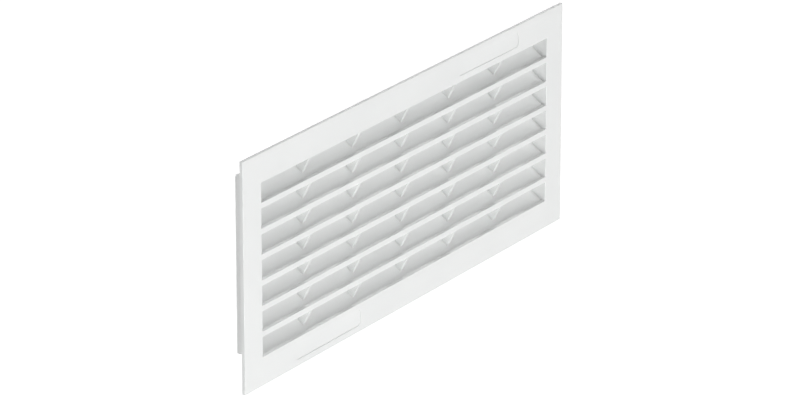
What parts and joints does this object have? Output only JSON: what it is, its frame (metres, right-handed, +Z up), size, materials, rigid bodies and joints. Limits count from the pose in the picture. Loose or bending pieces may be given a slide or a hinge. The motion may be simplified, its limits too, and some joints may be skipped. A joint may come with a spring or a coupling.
{
  "type": "ventilation grille",
  "caption": "Rectangular louvred ventilation grille in white plastic: flat flange, rear collar for a cut-out, rising fixed blades and thin upright ribs.",
  "frame": {"origin": "centre of the flange's back face, in the plane that lies against the panel", "axes": "+X along the long side, to the right seen from the front; +Y into the panel, along the collar; +Z up; the flange faces -Y"},
  "size_m": [0.31, 0.0155, 0.13],
  "materials": {
    "white_plastic": "smooth satin white moulding"
  },
  "bodies": {
    "root": {"louvre_grille": "white_plastic"}
  },
  "joints": []
}
